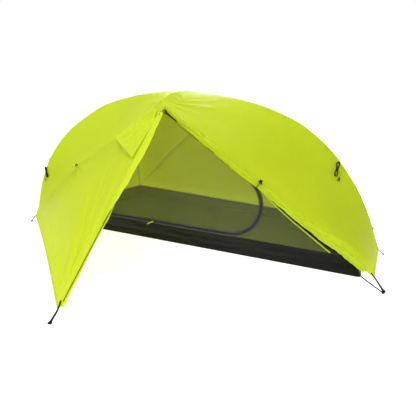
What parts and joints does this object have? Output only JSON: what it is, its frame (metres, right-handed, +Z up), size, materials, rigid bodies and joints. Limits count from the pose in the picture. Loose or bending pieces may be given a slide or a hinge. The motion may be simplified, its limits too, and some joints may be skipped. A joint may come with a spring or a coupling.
{
  "type": "lightweight tent",
  "caption": "Pitched one person trekking tent: mesh inner with bathtub floor on a Y shaped pole frame under a separate fly, half of its vestibule rolled back.",
  "frame": {"origin": "middle of the floor's underside, on the ground", "axes": "+X to the foot end, -X to the wider head end, -Y to the door and vestibule, +Z up"},
  "size_m": [2.5116, 1.9617, 1.0002],
  "materials": {
    "fly_cloth": "coated nylon, slight sheen",
    "inner_mesh": "fine net",
    "floor_cloth": "coated, slight sheen",
    "webbing": "woven",
    "cord": "braided",
    "zip": "matte",
    "slider": "satin",
    "pull_tab": "flat cord",
    "black_plastic": "matte",
    "pole_alloy": "satin anodised",
    "pole_tip": "satin",
    "shock_cord": "matte"
  },
  "bodies": {
    "inner_tent": {"floor_tub": "floor_cloth", "inner_foot_roof": "inner_mesh", "inner_side_front": "inner_mesh", "inner_side_rear": "inner_mesh", "inner_head_wall": "inner_mesh", "inner_front_wall": "inner_mesh", "inner_rear_wall": "inner_mesh", "inner_door_zip": "zip", "ridge_pole_section_1": "pole_alloy", "ridge_pole_section_2": "pole_alloy", "ridge_pole_section_3": "pole_alloy", "ridge_pole_section_4": "pole_alloy", "ridge_pole_section_5": "pole_alloy", "leg_pole_front_section_1": "pole_alloy", "leg_pole_front_section_2": "pole_alloy", "leg_pole_rear_section_1": "pole_alloy", "leg_pole_rear_section_2": "pole_alloy", "cross_pole_section_1": "pole_alloy", "cross_pole_section_2": "pole_alloy", "shock_cord_ridge_and_front_leg": "shock_cord", "shock_cord_rear_leg": "shock_cord", "shock_cord_cross": "shock_cord", "pole_hub": "black_plastic", "cross_pole_clip": "black_plastic", "pole_tip_ridge": "pole_tip", "pole_tip_leg_front": "pole_tip", "pole_tip_leg_rear": "pole_tip", "ridge_clip_1": "black_plastic", "ridge_clip_2": "black_plastic", "ridge_clip_3": "black_plastic", "leg_clip_front": "black_plastic", "leg_clip_rear": "black_plastic"},
    "inner_door": {"inner_door": "inner_mesh"},
    "inner_zip_slider": {"inner_zip_slider": "slider"},
    "inner_zip_pull": {"inner_zip_pull": "pull_tab"},
    "fly": {"fly_front_right": "fly_cloth", "fly_front_left": "fly_cloth", "fly_rear_right": "fly_cloth", "fly_rear_left": "fly_cloth", "fly_rear_wall": "fly_cloth", "fly_head_end": "fly_cloth", "fly_door_rolled": "fly_cloth", "roll_tie": "cord", "guy_tie_right": "webbing", "guy_tie_left": "webbing"},
    "roll_toggle": {"roll_toggle": "black_plastic"},
    "vestibule_left": {"vestibule_left": "fly_cloth", "vestibule_zip": "zip", "vent_hood": "fly_cloth"},
    "vent_strut": {"vent_strut": "black_plastic"},
    "vestibule_zip_slider": {"vestibule_zip_slider": "slider"},
    "vestibule_zip_pull": {"vestibule_zip_pull": "black_plastic"},
    "guyline_right": {"guyline_right_lead": "cord", "guyline_right_hank": "cord", "guyline_right_tail": "cord", "guyline_right_tensioner": "black_plastic"},
    "guyline_left": {"guyline_left_lead": "cord", "guyline_left_hank": "cord", "guyline_left_tail": "cord", "guyline_left_tensioner": "black_plastic"}
  },
  "joints": [
    {"name": "fly_lift", "type": "slide", "parent": "inner_tent", "child": "fly", "axis": [0, 0, 1], "range_m": [0, 0.3]},
    {"name": "vestibule_swing", "type": "hinge", "parent": "fly", "child": "vestibule_left", "pos_m": [-0.8146, -0.5923, 0.4126], "axis": [-0.7864, -0.1694, -0.5941], "range_deg": [0, 70]},
    {"name": "vent_strut_fold", "type": "hinge", "parent": "vestibule_left", "child": "vent_strut", "pos_m": [-0.2608, -0.5697, 0.649], "axis": [0.8159, -0.5315, -0.2277], "range_deg": [0, 75]},
    {"name": "vestibule_slider_run", "type": "slide", "parent": "vestibule_left", "child": "vestibule_zip_slider", "axis": [0.0533, -0.7307, -0.6807], "range_m": [0, 1.05]},
    {"name": "vestibule_pull_turn", "type": "hinge", "parent": "vestibule_zip_slider", "child": "vestibule_zip_pull", "pos_m": [-0.0609, -0.4517, 0.8396], "axis": [-0.2353, -0.6723, 0.7019], "range_deg": [-60, 60]},
    {"name": "inner_door_swing", "type": "hinge", "parent": "inner_tent", "child": "inner_door", "pos_m": [-0.9293, -0.4673, 0.1329], "axis": [-0.8006, -0.1062, -0.5897], "range_deg": [0, 45]},
    {"name": "inner_slider_run", "type": "slide", "parent": "inner_tent", "child": "inner_zip_slider", "axis": [0.9969, 0.0772, -0.0139], "range_m": [-0.62, 0.53]},
    {"name": "inner_pull_turn", "type": "hinge", "parent": "inner_zip_slider", "child": "inner_zip_pull", "pos_m": [-0.1969, -0.4195, 0.1215], "axis": [0.078, -0.9943, 0.0732], "range_deg": [-20, 120]},
    {"name": "roll_toggle_turn", "type": "hinge", "parent": "fly", "child": "roll_toggle", "pos_m": [0.5517, -0.422, 0.4666], "axis": [0.5542, -0.2066, 0.8063], "range_deg": [-90, 90]},
    {"name": "guyline_right_swing", "type": "hinge", "parent": "fly", "child": "guyline_right", "pos_m": [0.8693, 0, 0.6006], "axis": [-0.7872, -0.4445, 0.4274], "range_deg": [0, 60]},
    {"name": "guyline_left_swing", "type": "hinge", "parent": "fly", "child": "guyline_left", "pos_m": [-1.1193, -0.5065, 0.4968], "axis": [-0.7632, -0.106, -0.6374], "range_deg": [0, 60]}
  ]
}
